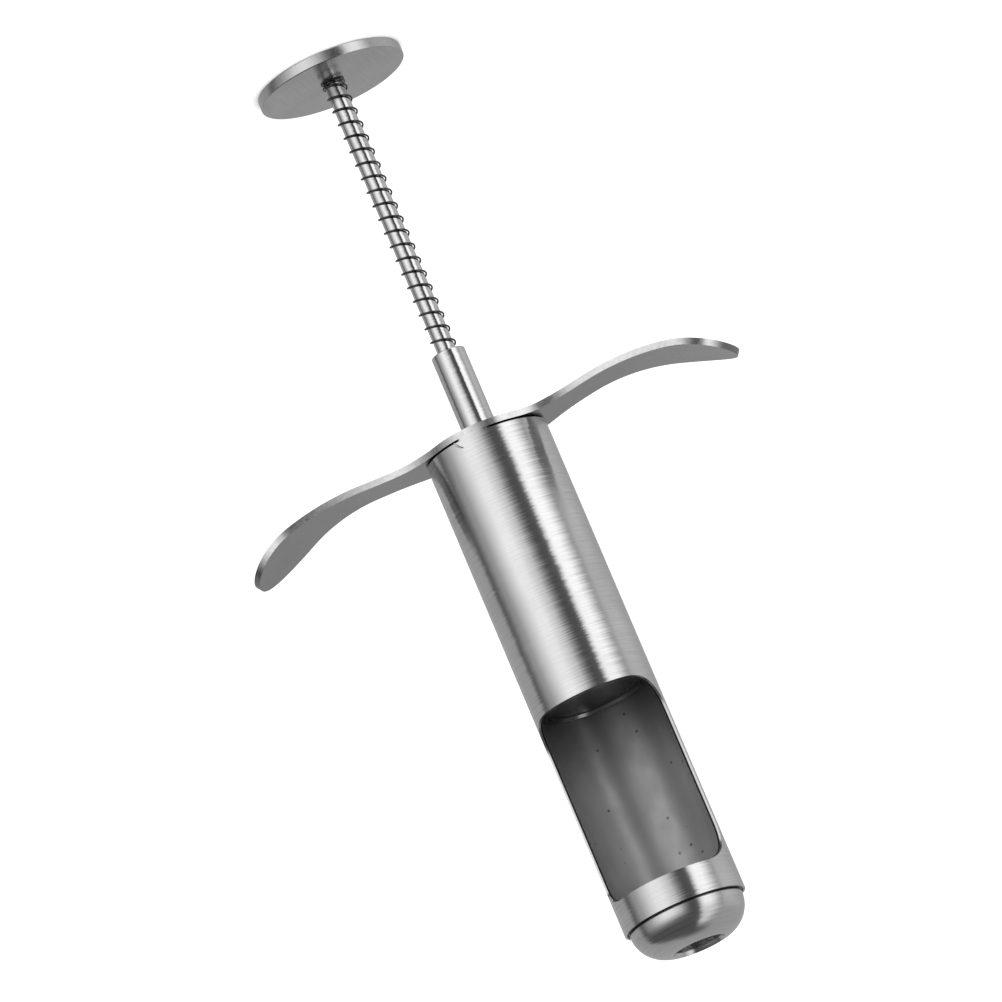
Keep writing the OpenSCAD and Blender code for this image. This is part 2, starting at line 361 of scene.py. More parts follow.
def plastic(name, colour, rough):
    """Plain plastic or silicone with a fine uneven skin."""
    material, tree, shader = node_tree(name)
    texture = noise(tree, (900, 900, 900), detail=3)
    dark = tuple(c * 0.94 for c in colour)
    tree.links.new(colour_ramp(tree, texture, dark, colour), shader.inputs["Base Color"])
    vary = 0.05
    tree.links.new(spread(tree, texture, rough - vary, rough + vary), shader.inputs["Roughness"])
    bump(tree, shader, texture, 0.02 * MM)
    return material


def blend(tree, factor, first, second, kind):
    """Mixes two values or colours by a factor."""
    mix = tree.nodes.new("ShaderNodeMix")
    mix.data_type = kind
    ending = "Color" if kind == "RGBA" else "Float"
    sockets = {socket.identifier: socket for socket in mix.inputs}
    tree.links.new(factor, mix.inputs[0])
    tree.links.new(first, sockets["A_" + ending])
    tree.links.new(second, sockets["B_" + ending])
    return next(socket for socket in mix.outputs if socket.identifier == "Result_" + ending)


def specks(tree, per_metre, size):
    """Scattered small spots: dark at each spot's middle, white between them."""
    cells = tree.nodes.new("ShaderNodeTexVoronoi")
    cells.inputs["Scale"].default_value = per_metre
    tree.links.new(coordinates(tree, "Object"), cells.inputs["Vector"])
    reach = size * per_metre
    return spread(tree, cells.outputs["Distance"], 0.4, 1.0, reach * 0.6, reach)


def from_axis(tree):
    """Distance from the Z axis."""
    flat = maths(tree, "VectorMath", "MULTIPLY", coordinates(tree, "Object"))
    flat.inputs[1].default_value = (1, 1, 0)
    return maths(tree, "VectorMath", "LENGTH", flat.outputs["Vector"]).outputs["Value"]


def part_along(tree, kind, axis):
    """One part, X, Y or Z, of the texture coordinates of a kind."""
    split = tree.nodes.new("ShaderNodeSeparateXYZ")
    tree.links.new(coordinates(tree, kind), split.inputs["Vector"])
    return split.outputs[axis]


def source(shader, name):
    """What feeds one of the shader's inputs."""
    return shader.inputs[name].links[0].from_socket


def dull_inside(tree, shader, radius, grey, rough, metal=1.0):
    """Gives everything nearer to the axis than the radius another grey and a duller face, and less
    of a metal's shine where metal is below one."""
    fade = 0.05 * MM
    inside = spread(tree, from_axis(tree), 1, 0, radius - fade, radius + fade)
    base = blend(tree, inside, source(shader, "Base Color"), grey, "RGBA")
    tree.links.new(base, shader.inputs["Base Color"])
    vary = 0.05
    inner = spread(tree, noise(tree, (300, 300, 200), detail=3), rough - vary, rough + vary)
    face = blend(tree, inside, source(shader, "Roughness"), inner, "FLOAT")
    tree.links.new(face, shader.inputs["Roughness"])
    if metal < 1:
        tree.links.new(spread(tree, inside, 1.0, metal, 0, 1), shader.inputs["Metallic"])


GIRTH_BRUSHED = (50, 50, 2600)

# The rounding asked for along the window, and how far its dull finish reaches out of the bore
EASED_RIM = 0.6 * MM


def tube_steel():
    """Brushed round its girth outside. Inside it is dull, with a few specks. Painted shade makes it
    darker towards the piston and the sides, and a painted shadow makes it darkest along the window's
    rim."""
    material, tree, shader = steel(
        "brushed_tube", 0.62, 0.20, GIRTH_BRUSHED, 0.003 * MM, 0.8, streak=0.08, wander=0.03)
    grey = grey_ramp(tree, noise(tree, (60, 60, 30), detail=4), 0.40, 0.56)
    z = part_along(tree, "Object", "Z")
    y = part_along(tree, "Object", "Y")
    # painted shade: the bore is darker towards the piston, as if shaded by it
    piston_shade = spread(tree, z, 0.42, 1.0, WINDOW_Z0, WINDOW_Z0 + 24 * MM)
    # painted shade: the bore is darker on the window's side
    side_shade = spread(tree, y, 0.68, 1.0, -2 * MM, 12 * MM)
    # painted shadow: near black on the inner rounding of the window's rim
    rim = spread(tree, from_axis(tree), 1.0, 0.03, BORE_R + 0.02 * MM, BORE_R + 0.08 * MM)
    grey = multiply(tree, grey, specks(tree, 170, 0.6 * MM), piston_shade, side_shade, rim)
    dull_inside(tree, shader, BORE_R + EASED_RIM, grey, 0.52, metal=0.74)
    return material


def cap_steel():
    """Turned outside, with painted shade darkening the hole and painted shadow darkening the seam at
    the tube's mouth.
    """
    material, tree, shader = steel(
        "cap_steel", 0.60, 0.20, GIRTH_BRUSHED, 0.004 * MM, 0.6, streak=0.08, wander=0.03)
    z = part_along(tree, "Object", "Z")
    # painted shadow: the cap is near black in the seam at the tube's mouth and below it
    seam = spread(tree, z, 0.08, 1.0, MOUTH_Z + 0.15 * MM, MOUTH_Z + 0.3 * MM)
    tree.links.new(multiply(tree, source(shader, "Base Color"), seam), shader.inputs["Base Color"])
    # painted shade: the hole's grey is dark, as if shaded deep inside
    grey = grey_ramp(tree, noise(tree, (200, 200, 900), detail=3), 0.06, 0.20)
    dull_inside(tree, shader, HOLE_R + 0.08 * MM, grey, 0.3)
    return material


def weld_steel():
    """Ground and brushed like the tube, with painted shade making it dark where it sinks into the
    groove at its ends.
    """
    material, tree, shader = steel(
        "ground_weld", 0.62, 0.20, GIRTH_BRUSHED, 0.003 * MM, 0.8, streak=0.08, wander=0.03)
    # painted shade: near black where the weld sinks into the groove
    grey = grey_ramp(tree, noise(tree, (600, 600, 600), detail=3), 0.02, 0.06)
    dull_inside(tree, shader, TUBE_R - 0.08 * MM, grey, 0.6)
    return material


def strip_steel():
    """Satin faces, bright edges, and a darker line along the rounding between them: the line is painted
    shade standing in for a dark reflection, and the faces' extra lightness is a painted sheen.
    """
    material, tree, shader = steel("satin_strip", 0.62, 0.24, (700, 2200, 900), 0.005 * MM, streak=0.12)
    level = maths(tree, "Math", "ABSOLUTE", part_along(tree, "Normal", "Z"))
    # painted shade: a dark line along the rounding, standing in for a dark reflection
    rounding = spread(tree, level.outputs["Value"], 1.0, 0.4, 0.25, 0.42)
    # painted sheen: the flat faces are made lighter by the way they face
    face = spread(tree, level.outputs["Value"], 1.0, 1.35, 0.62, 0.76)
    base = multiply(tree, source(shader, "Base Color"), rounding, face)
    tree.links.new(base, shader.inputs["Base Color"])
    return material


BRUSHED_TUBE = tube_steel()
CAP_STEEL = cap_steel()
SLEEVE_STEEL = steel("sleeve_steel", 0.64, 0.10, (120, 120, 2000), 0.004 * MM, 0.6, wander=0.025)[0]
TURNED_STEEL = steel("turned_steel", 0.60, 0.24, (80, 80, 3000), 0.004 * MM, 0.6)[0]
SATIN_STRIP = strip_steel()
SATIN_DISC = steel("satin_disc", 0.52, 0.22, (1500, 60, 900), 0.002 * MM, streak=0.07)[0]
ROD_STEEL = steel("rod_steel", 0.64, 0.08, (150, 150, 2000), 0.005 * MM, 0.4, wander=0.04)[0]
PISTON_STEEL = steel("piston_steel", 0.26, 0.18, (300, 300, 3000), 0.003 * MM)[0]
SPRING_WIRE = steel("spring_wire", 0.09, 0.12, (2000, 2000, 2000), 0.002 * MM)[0]
GROUND_WELD = weld_steel()
WHITE_PLASTIC = plastic("white_plastic", (0.80, 0.79, 0.75), 0.5)
SILICONE = plastic("clear_silicone", (0.76, 0.76, 0.74), 0.45)

CAD_FINISH = {
    "thread_ring": TURNED_STEEL, "grip_weld_front": GROUND_WELD, "grip_weld_back": GROUND_WELD,
    "sleeve_weld": GROUND_WELD, "rod_bush": WHITE_PLASTIC, "nose_gasket": SILICONE,
    "stop_washer": TURNED_STEEL, "stop_clip": SPRING_WIRE, "disc_plug_weld": GROUND_WELD,
    "piston_seal": SILICONE, "piston_lock_washer": TURNED_STEEL, "piston_lock_nut": TURNED_STEEL,
    "barrel_tube": BRUSHED_TUBE, "guide_sleeve": BRUSHED_TUBE, "finger_grip": SATIN_STRIP,
    "nose_cap": CAP_STEEL, "plunger_rod": ROD_STEEL, "palm_disc": SATIN_DISC,
    "piston": PISTON_STEEL, "return_spring": SPRING_WIRE,
}


def finish_cad_nodes():
    """Gives every CAD node its material, also where a detailed piece replaces it."""
    for node, material in CAD_FINISH.items():
        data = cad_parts[node].data
        if not data.materials:
            data.materials.append(material)
        for i in range(len(data.materials)):
            data.materials[i] = material


# ---- Pieces ----

def window_columns():
    """Columns round the tube as (outer turn, inner turn, how far the window's end is drawn in).
    They run from the +X edge of the window over the front to the -X edge, then round the back."""
    corner_steps = 14
    front_steps = 24
    back_steps = 64
    reach = WINDOW_OFFSET + WINDOW_CORNER
    corner = []
    for i in range(corner_steps + 1):
        a = math.pi / 2 * (1 - i / corner_steps)
        depth = reach - WINDOW_CORNER * math.sin(a)
        inset = WINDOW_CORNER * (1 - math.cos(a))
        corner.append((math.acos(depth / TUBE_R), math.acos(depth / BORE_R), inset))
    outer, inner, _ = corner[-1]
    front = []
    for i in range(1, front_steps):
        part = 1 - 2 * i / front_steps
        front.append((outer * part, inner * part, 0))
    opened = corner + front
    opened += [(-outer, -inner, inset) for outer, inner, inset in reversed(corner)]
    outer, inner, inset = corner[0]
    closed = []
    for i in range(1, back_steps):
        part = i / back_steps
        closed.append((
            -outer - (2 * math.pi - 2 * outer) * part,
            -inner - (2 * math.pi - 2 * inner) * part,
            inset,
        ))
    return opened, closed


def build_barrel():
    """The tube with its window, as outer and inner faces with rounded rims between them."""
    foot_r = BORE_R + 0.1 * MM
    foot_h = 0.7 * MM
    rows = 14
    top_rows = 4
    opened, closed = window_columns()
    columns = opened + closed
    points = []
    for outer, inner, inset in columns:
        floor = WINDOW_Z0 + inset
        ceiling = WINDOW_Z1 - inset
        points.append(around(foot_r, outer, TUBE_Z))
        for k in range(rows + 1):
            start = TUBE_Z + foot_h
            points.append(around(TUBE_R, outer, start + (floor - start) * k / rows))
        for k in range(rows + 1):
            points.append(around(BORE_R, inner, TUBE_Z + (floor - TUBE_Z) * k / rows))
        for k in range(top_rows + 1):
            points.append(around(TUBE_R, outer, ceiling + (MOUTH_Z - ceiling) * k / top_rows))
        for k in range(top_rows + 1):
            points.append(around(BORE_R, inner, ceiling + (MOUTH_Z - ceiling) * k / top_rows))
    foot = 0
    out_low = 1
    in_low = out_low + rows + 1
    out_high = in_low + rows + 1
    in_high = out_high + top_rows + 1
    size = in_high + top_rows + 1
    faces = []
    for c in range(len(columns)):
        here = c * size
        there = (c + 1) % len(columns) * size
        strips = [(foot, out_low), (in_low, foot), (out_high + top_rows, in_high + top_rows)]
        strips += [(out_low + k, out_low + k + 1) for k in range(rows)]
        strips += [(in_low + k, in_low + k + 1) for k in range(rows)]
        strips += [(out_high + k, out_high + k + 1) for k in range(top_rows)]
        strips += [(in_high + k, in_high + k + 1) for k in range(top_rows)]
        if c < len(opened) - 1:
            strips += [(out_low + rows, in_low + rows), (out_high, in_high)]
        else:
            strips += [(out_low + rows, out_high), (in_low + rows, in_high)]
        for a, b in strips:
            faces.append((here + a, there + a, there + b, here + b))
    for c in (0, len(opened) - 1):
        here = c * size
        faces.append((here + out_low + rows, here + in_low + rows, here + in_high, here + out_high))
    shell = mesh_object("barrel_shell", points, faces)
    cut_away(shell, weld_notch())
    ease_rims(shell)
    finish_piece(shell, "barrel", "brushed_tube", BRUSHED_TUBE, "barrel_tube")


def ease_rims(shell):
    """Rounds the tube's sharp edges, most along the inside of the window. The widths are upper
    limits: the bevel keeps to what fits between neighbouring edges."""
    narrow = 0.12 * MM
    mesh = shell.data
    mesh.attributes.new("bevel_weight_edge", "FLOAT", "EDGE")
    work = bmesh.new()
    work.from_mesh(mesh)
    layer = work.edges.layers.float["bevel_weight_edge"]
    for edge in work.edges:
        if len(edge.link_faces) != 2 or edge.calc_face_angle() < SHARP:
            continue
        middle = (edge.verts[0].co + edge.verts[1].co) / 2
        within = middle.xy.length < BORE_R + 0.1 * MM and TUBE_Z + MM < middle.z < MOUTH_Z - MM
        edge[layer] = 1 if within else narrow / EASED_RIM
    work.to_mesh(mesh)
    work.free()
    bevel = shell.modifiers.new("eased_rims", "BEVEL")
    bevel.width = EASED_RIM
    bevel.segments = 3
    bevel.limit_method = "WEIGHT"
    bevel.harden_normals = True


WELD_HALF = math.radians(19)

# A weld's cross-section as (out from the tube's face, up from its end), in millimetres
WELD_SECTION = [(-1.0, 0.0), (-0.55, -0.5), (-0.03, -0.5), (0.0, 0.0), (0.0, 0.75), (-0.4, 0.5)]


def weld_notch():
    """The small curved mark left in the tube where the front weld ends."""
    steps = 14
    start = WELD_HALF + math.radians(1)
    reach = math.radians(8)
    sunk = 0.2 * MM
    low = 0.1 * MM
    climb = 2.9 * MM
    path = []
    for i in range(steps + 1):
        part = i / steps
        rise = low + climb * math.sin(part * math.pi / 2)
        path.append(around(TUBE_R - sunk, start - reach * part, TUBE_Z + rise))
    return sweep("weld_notch", path, 0.42 * MM, taper=0.3)


def build_weld(name, node, middle):
    """A weld ground flush: it closes the groove between strip and tube and fades out at both ends."""
    steps = 40
    points = []
    faces = []
    for i in range(steps + 1):
        part = 2 * i / steps - 1
        sink = abs(part) ** 8
        turn = middle + WELD_HALF * part
        for out, up in WELD_SECTION:
            points.append(around(TUBE_R + (out - sink) * MM, turn, TUBE_Z + up * MM))
    count = len(WELD_SECTION)
    for i in range(steps):
        for j in range(count):
            a = i * count + j
            b = i * count + (j + 1) % count
            faces.append((a, b, b + count, a + count))
    faces.append(tuple(range(count)))
    faces.append(tuple(steps * count + j for j in range(count)))
    weld = mesh_object(name, points, faces, 50)
    finish_piece(weld, "barrel", "ground_weld", GROUND_WELD, node)


WING_END_X = 66.8 * MM
WING_END_R = 13.7 * MM
WING_NECK_X = 31 * MM
WING_NECK_R = 7.8 * MM
WING_BEND_X = 20.7 * MM
WING_BEND_SHIFT = 2.5 * MM
WING_BEND_R = 30 * MM
WING_STRAIGHT = 14.2 * MM
WING_CURVE_R = 65.5 * MM
WING_CURVE = math.radians(54)
WING_RISE = math.radians(5.25)
WING_SKEW = math.radians(2.75)


def wing_line(bend_x, rise):
    """Middle line of one wing as (x, z, heading), from the axis to beyond its end."""
    line = [(0, 0, 0)]
    bend_steps = 8
    for i in range(bend_steps + 1):
        a = rise * i / bend_steps
        x = bend_x + WING_BEND_R * (math.sin(a) - math.tan(rise / 2))
        line.append((x, -WING_BEND_R * (1 - math.cos(a)), -a))
    start_x = line[-1][0] + WING_STRAIGHT * math.cos(rise)
    start_z = line[-1][1] - WING_STRAIGHT * math.sin(rise)
    curve_steps = 48
    for i in range(curve_steps + 1):
        a = WING_CURVE * i / curve_steps - rise
        x = start_x + WING_CURVE_R * (math.sin(a) + math.sin(rise))
        z = start_z + WING_CURVE_R * (math.cos(rise) - math.cos(a))
        line.append((x, z, a))
    return line


def along_line(line, x):
    """The point and heading of a line at a given x."""
    for near, far in zip(line, line[1:]):
        if x <= far[0] or far == line[-1]:
            part = (x - near[0]) / (far[0] - near[0])
            return tuple(n + (f - n) * part for n, f in zip(near, far))


def wing_stations():
    """Distances from the axis and half widths of the strip, from the centre to the wing's end."""
    gap_r = WING_END_R - WING_NECK_R
    outer_r = ((WING_END_X - WING_NECK_X) ** 2 + WING_NECK_R ** 2 - WING_END_R ** 2) / (2 * gap_r)
    inner_r = (WING_NECK_X ** 2 + WING_NECK_R ** 2 - TUBE_R ** 2) / (2 * (TUBE_R - WING_NECK_R))
    inner_x = WING_NECK_X * TUBE_R / (inner_r + TUBE_R)
    outer_x = WING_END_X - (WING_END_X - WING_NECK_X) * WING_END_R / (outer_r + WING_END_R)
    stations = []

    def add(low, high, steps, arc_x, arc_r, base=0.0):
        """Stations along an arc. A base width makes it the hollow flank beside the neck."""
        for i in range(steps):
            x = low + (high - low) * i / steps
            rise = math.sqrt(arc_r ** 2 - (x - arc_x) ** 2)
            stations.append((x, base + arc_r - rise if base else rise))

    add(0, inner_x, 8, 0, TUBE_R)
    add(inner_x, WING_NECK_X, 14, WING_NECK_X, inner_r, WING_NECK_R)
    add(WING_NECK_X, outer_x, 18, WING_NECK_X, outer_r, WING_NECK_R)
    add(outer_x, WING_END_X, 3, WING_END_X, WING_END_R)
    end_steps = 18
    end_reach = WING_END_R - 0.7 * MM
    for i in range(end_steps + 1):
        a = math.pi / 2 * i / end_steps
        stations.append((WING_END_X + end_reach * math.sin(a), WING_END_R * math.cos(a)))
    return stations


def build_grip():
    """The strip, bent and curved, with square-cut edges that are rounded over."""
    across = 12
    stations = wing_stations()
    rows = []
    for side in (-1, 1):
        line = wing_line(WING_BEND_X + side * WING_BEND_SHIFT, WING_RISE - side * WING_SKEW)
        wing = []
        for x, half_width in stations:
            _, z, heading = along_line(line, x)
            wing.append((side, x, z, heading, half_width))
        rows += list(reversed(wing)) if side < 0 else wing[1:]
    points = []
    for face in (1, -1):
        for side, x, z, heading, half_width in rows:
            for k in range(across + 1):
                points.append((
                    side * (x - face * GRIP_T / 2 * math.sin(heading)),
                    half_width * (2 * k / across - 1),
                    GRIP_MIDDLE + z + face * GRIP_T / 2 * math.cos(heading),
                ))
    faces = []
    width = across + 1
    layer = len(rows) * width
    for i in range(len(rows) - 1):
        for k in range(across):
            a = i * width + k
            faces.append((a, a + 1, a + 1 + width, a + width))
            faces.append((a + layer, a + width + layer, a + 1 + width + layer, a + 1 + layer))
        for a in (i * width, i * width + across):
            faces.append((a, a + width, a + width + layer, a + layer))
    strip = mesh_object("grip_strip", points, faces)
    corners = [(0, -GRIP_T), (SLEEVE_BORE, -GRIP_T), (SLEEVE_BORE, GRIP_T), (0, GRIP_T)]
    bore = lathe("grip_bore", corners, 96)
    bore.location = (0, 0, GRIP_MIDDLE)
    cut_away(strip, bore)
    round_edges(strip, 0.75 * MM, 5)
    finish_piece(strip, "barrel", "satin_strip", SATIN_STRIP, "finger_grip")


def arc(centre, radius, start, end, steps):
    """Points of an arc between two angles, in degrees."""
    return [
        Vector((
            centre[0] + radius * math.cos(math.radians(start + (end - start) * i / steps)),
            centre[1] + radius * math.sin(math.radians(start + (end - start) * i / steps)),
        ))
        for i in range(steps + 1)
    ]


def build_cap():
    """The domed cap with its thread, seam, funnel and the fine grooves in its hole."""
    thread_r = BORE_R - 2.4 * MM
    spigot_r = thread_r - 0.06 * MM
    spigot_z = CAP_LOW.z
    seat_z = MOUTH_Z - 2 * MM
    funnel_r = thread_r - 2.4 * MM
    hole_z = NOSE_Z - 5 * MM
    dome_r = CAP_R - HOLE_R
    seam = 0.34 * MM
    seam_depth = 0.5 * MM
    sink_r = HOLE_R + 0.5 * MM
    sink_z = NOSE_Z - 1.4 * MM
    rim = 0.1 * MM
    outline = [Vector((funnel_r, spigot_z)), Vector((spigot_r - 0.5 * MM, spigot_z))]
    threads = 4
    pitch = (seat_z - spigot_z - 0.6 * MM) / threads
    for i in range(threads):
        z = spigot_z + 0.4 * MM + pitch * i
        outline += [Vector((spigot_r - 0.45 * MM, z)), Vector((spigot_r, z + pitch / 2))]
    outline += [Vector((spigot_r - 0.3 * MM, seat_z))]
    outline += [
        Vector((CAP_R - 0.1 * MM, seat_z)), Vector((CAP_R, seat_z + 0.1 * MM)),
        Vector((CAP_R, MOUTH_Z - 0.2 * MM)), Vector((CAP_R - seam_depth, MOUTH_Z - 0.1 * MM)),
        Vector((CAP_R - seam_depth, MOUTH_Z + seam - 0.1 * MM)),
        Vector((CAP_R - 0.12 * MM, MOUTH_Z + seam)),
    ]
    outline += arc((HOLE_R, NOSE_Z - dome_r), dome_r - 0.02 * MM, 0, 86, 30)
    outline += arc((sink_r + rim, NOSE_Z - rim), rim, 90, 160, 4)
    grooves = 6
    step = (sink_z - hole_z) / (grooves + 1)
    groove_depth = 0.3 * MM
    for i in range(grooves):
        z = sink_z - step * i
        outline += [
            Vector((HOLE_R, z)), Vector((HOLE_R + groove_depth, z - step * 0.4)),
            Vector((HOLE_R, z - step * 0.8)),
        ]
    outline += [Vector((HOLE_R, hole_z)), Vector((funnel_r, seat_z))]
    cap = lathe("cap_dome", outline, 256)
    finish_piece(cap, "cap", "turned_steel", CAP_STEEL, "nose_cap")


def build_sleeve():
    """The short tube that guides the rod, with a rounded outer edge."""
    edge = 0.5 * MM
    lip = 0.2 * MM
    corners = [
        (SLEEVE_BORE, SLEEVE_LOW.z), (SLEEVE_R, SLEEVE_LOW.z),
        (SLEEVE_R, SLEEVE_HIGH.z), (SLEEVE_BORE, SLEEVE_HIGH.z),
    ]
    sleeve = lathe("sleeve_tube", rounded(corners, [lip, edge, 0, 0], 5), 160)
    finish_piece(sleeve, "barrel", "brushed_tube", SLEEVE_STEEL, "guide_sleeve")


def build_rod():
    """The rod with its riveted spigot, clip groove and piston thread."""
    rod_low, rod_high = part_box("plunger_rod")
    clip_low, clip_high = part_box("stop_clip")
    shoulder_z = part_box("piston_lock_nut")[0].z
    edge = 0.1 * MM
    outline = [
        (0, rod_low.z), (SPIGOT_R, rod_low.z), (SPIGOT_R, PALM_T), (ROD_R, PALM_T),
        (ROD_R, clip_low.z - edge), (ROD_R - edge, clip_low.z), (SPIGOT_R, clip_low.z),
        (SPIGOT_R, clip_high.z), (ROD_R - edge, clip_high.z), (ROD_R, clip_high.z + edge),
        (ROD_R, shoulder_z - edge), (ROD_R - edge, shoulder_z),
    ]
    threads = 26
    root_r = SPIGOT_R - 0.25 * MM
    pitch = (rod_high.z - shoulder_z) / threads
    for i in range(threads):
        z = shoulder_z + pitch * i
        outline += [(root_r, z), (SPIGOT_R, z + pitch / 2)]
    outline += [(root_r, rod_high.z), (0, rod_high.z)]
    rod = lathe("rod_bar", outline, 96)
    finish_piece(rod, "plunger", "rod_steel", ROD_STEEL, "plunger_rod")


def build_piston():
    """The piston with its seal groove, rounded front and dished face with fine turned rings."""
    low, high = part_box("piston")
    r = high.x
    edge = 0.3 * MM
    burr = 0.1 * MM
    groove = 1.2 * MM
    groove_r = BORE_R - 2.1 * MM
    middle = (low.z + high.z) / 2
    front = 2.5 * MM
    bore_z = low.z + 7 * MM
    outline = [Vector((SPIGOT_R, low.z)), Vector((r - edge, low.z)), Vector((r, low.z + edge))]
    outline += [
        Vector((r, middle - groove - burr)), Vector((r - burr, middle - groove)),
        Vector((groove_r, middle - groove)), Vector((groove_r, middle + groove)),
        Vector((r - burr, middle + groove)), Vector((r, middle + groove + burr)),
    ]
    outline += arc((r - front, high.z - front), front, 0, 90, 12)
    lip = 0.3 * MM
    lip_r = r - front - lip
    floor_z = high.z - 1.2 * MM
    floor_r = lip_r - 0.65 * MM
    outline += arc((lip_r + lip, high.z - lip), lip, 90, 165, 5)
    outline += [Vector((floor_r + 0.35 * MM, floor_z + 0.2 * MM)), Vector((floor_r, floor_z))]
    rings = 8
    ring_half = 0.25 * MM
    ring_depth = 0.05 * MM
    for i in range(rings):
        out = floor_r * (1 - (i + 0.5) / rings)
        outline += [
            Vector((out + ring_half, floor_z)), Vector((out, floor_z - ring_depth)),
            Vector((out - ring_half, floor_z)),
        ]
    outline += [Vector((0, floor_z)), Vector((0, bore_z)), Vector((SPIGOT_R, bore_z))]
    body = lathe("piston_body", outline, 192)
    finish_piece(body, "plunger", "piston_steel", PISTON_STEEL, "piston")


def spring_rise(turn, pitch, closed, closed_pitch, ramp, ramp_start):
    """Rise of the wire from one end of the spring after a number of turns."""
    opened = max(turn - closed, 0)
    rising = min(opened, ramp)
    steady = max(opened - ramp, 0)
    ramped = ramp_start * rising + (1 - ramp_start) * rising ** 2 / (2 * ramp)
    return closed_pitch * min(turn, closed) + pitch * (ramped + steady)


def build_spring():
    """The left-handed spring from the palm disc to the bush, with closed coils at both ends."""
    wire_r = 0.3 * MM
    coil_r = 3.45 * MM
    free_pitch = 4.6 * MM
    closed = 1
    ramp = 3
    ramp_start = 0.8
    closed_pitch = 2 * wire_r * 1.06
    phase = math.radians(-45)
    steps = 32
    sides = 10
    half = (BUSH_Z - PALM_T) / 2 - wire_r
    lost = closed + ramp * (1 - ramp_start) / 2
    open_length = half - closed_pitch * closed
    half_turns = round((open_length / free_pitch + lost) * 16) / 16
    pitch = open_length / (half_turns - lost)
    points = []
    faces = []
    rings = int(2 * half_turns * steps)
    for i in range(rings + 1):
        turn = i / steps
        if turn < half_turns:
            rise = spring_rise(turn, pitch, closed, closed_pitch, ramp, ramp_start)
        else:
            left = 2 * half_turns - turn
            rise = 2 * half - spring_rise(left, pitch, closed, closed_pitch, ramp, ramp_start)
        spin = phase - 2 * math.pi * turn
        for j in range(sides):
            side = 2 * math.pi * j / sides
            r = coil_r + wire_r * math.cos(side)
            z = PALM_T + wire_r + rise + wire_r * math.sin(side)
            points.append((r * math.cos(spin), r * math.sin(spin), z))
    for i in range(rings):
        for j in range(sides):
            a = i * sides + j
            b = i * sides + (j + 1) % sides
            faces.append((a, b, b + sides, a + sides))
    faces.append(tuple(range(sides)))
    faces.append(tuple(rings * sides + j for j in range(sides)))
    spring = mesh_object("spring_coil", points, faces, 60)
    finish_piece(spring, "barrel", "spring_wire", SPRING_WIRE, "return_spring")
    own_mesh(spring)


def build_palm_disc():
    """The flat disc with a hole for the rod's spigot."""
    edge = 0.4 * MM
    corners = [(SPIGOT_R, 0), (PALM_R, 0), (PALM_R, PALM_T), (SPIGOT_R, PALM_T)]
    disc = lathe("palm_plate", rounded(corners, [0, edge, edge, 0]), 256)
    finish_piece(disc, "plunger", "satin_disc", SATIN_DISC, "palm_disc")


finish_cad_nodes()
build_barrel()
build_weld("weld_front", "grip_weld_front", 0)
build_weld("weld_back", "grip_weld_back", math.pi)
build_grip()
build_cap()
build_sleeve()
build_rod()
build_piston()
build_spring()
build_palm_disc()


# ---- Studio ----

VIEW_AZIMUTH = math.radians(8.3)
VIEW_ELEVATION = math.radians(14.2)
VIEW_ROLL = math.radians(157.0)
VIEW_DISTANCE = 2.366
VIEW_LENS = 287.4
AIM_Z = 142.7 * MM
AIM_SIDE = 2.57 * MM


def build_camera():
    """Long lens, a little to the -X side of the window and above it, rolled so the nose points down."""
    sin_a, cos_a = math.sin(VIEW_AZIMUTH), math.cos(VIEW_AZIMUTH)
    sin_e, cos_e = math.sin(VIEW_ELEVATION), math.cos(VIEW_ELEVATION)
    back = Vector((-sin_a * cos_e, -cos_a * cos_e, sin_e))
    level = Vector((cos_a, -sin_a, 0))
    rise = back.cross(level)
    right = level * math.cos(VIEW_ROLL) + rise * math.sin(VIEW_ROLL)
    up = rise * math.cos(VIEW_ROLL) - level * math.sin(VIEW_ROLL)
    data = bpy.data.cameras.new("camera")
    data.lens = VIEW_LENS
    data.sensor_width = 36
    data.clip_start = 0.05
    data.clip_end = 60
    camera = bpy.data.objects.new("camera", data)
    bpy.context.scene.collection.objects.link(camera)
    aim = Vector((0, 0, AIM_Z)) + level * AIM_SIDE
    turn = Matrix((right, up, back)).transposed().to_4x4()
    camera.matrix_world = Matrix.Translation(aim + back * VIEW_DISTANCE) @ turn
    bpy.context.scene.camera = camera


def build_floor():
    """A plain pale floor that neither darkens under the tool nor shows in its steel."""
    size = 30
    mesh = bpy.data.meshes.new("floor")
    corners = [(-size, -size, 0), (size, -size, 0), (size, size, 0), (-size, size, 0)]
    mesh.from_pydata(corners, [], [(0, 1, 2, 3)])
    floor = new_object("floor", mesh)
    material, tree, shader = node_tree("pale_floor")
    paper = noise(tree, (3, 3, 3), detail=2)
    tree.links.new(grey_ramp(tree, paper, 0.86, 0.88), shader.inputs["Base Color"])
    shader.inputs["Roughness"].default_value = 0.9
    mesh.materials.append(material)
    floor.visible_glossy = False
    floor.visible_shadow = False


# The studio as the steel sees it: soft lights and dark flags standing round the tool. Each has the
# turns where it starts, is full, begins to fade and ends, in degrees from the camera's side and
# positive towards -X, and then its grey level. A later one stands in front of those before it.
ROOM = 0.45
WIDE_LIGHT = (-75, -40, -25, 10, 1.3)
FRONT_FLAG = (-5, 15, 30, 35, 0.1)
STRIP_LIGHT = (30, 40, 55, 80, 1.5)
GREY_CARD = (80, 90, 110, 150, 0.65)
SIDE_FLAG = (-110, -100, -95, -80, 0.15)
TOP_FLAG = (-120, -110, 30, 35, 0.1)
STRIP_LIGHT_TOP = (30, 40, 55, 80, 1.0)
LOW_PANELS = [WIDE_LIGHT, FRONT_FLAG, STRIP_LIGHT, GREY_CARD, SIDE_FLAG]
HIGH_PANELS = [TOP_FLAG, STRIP_LIGHT_TOP]

# Grey level straight overhead
ZENITH = 0.1


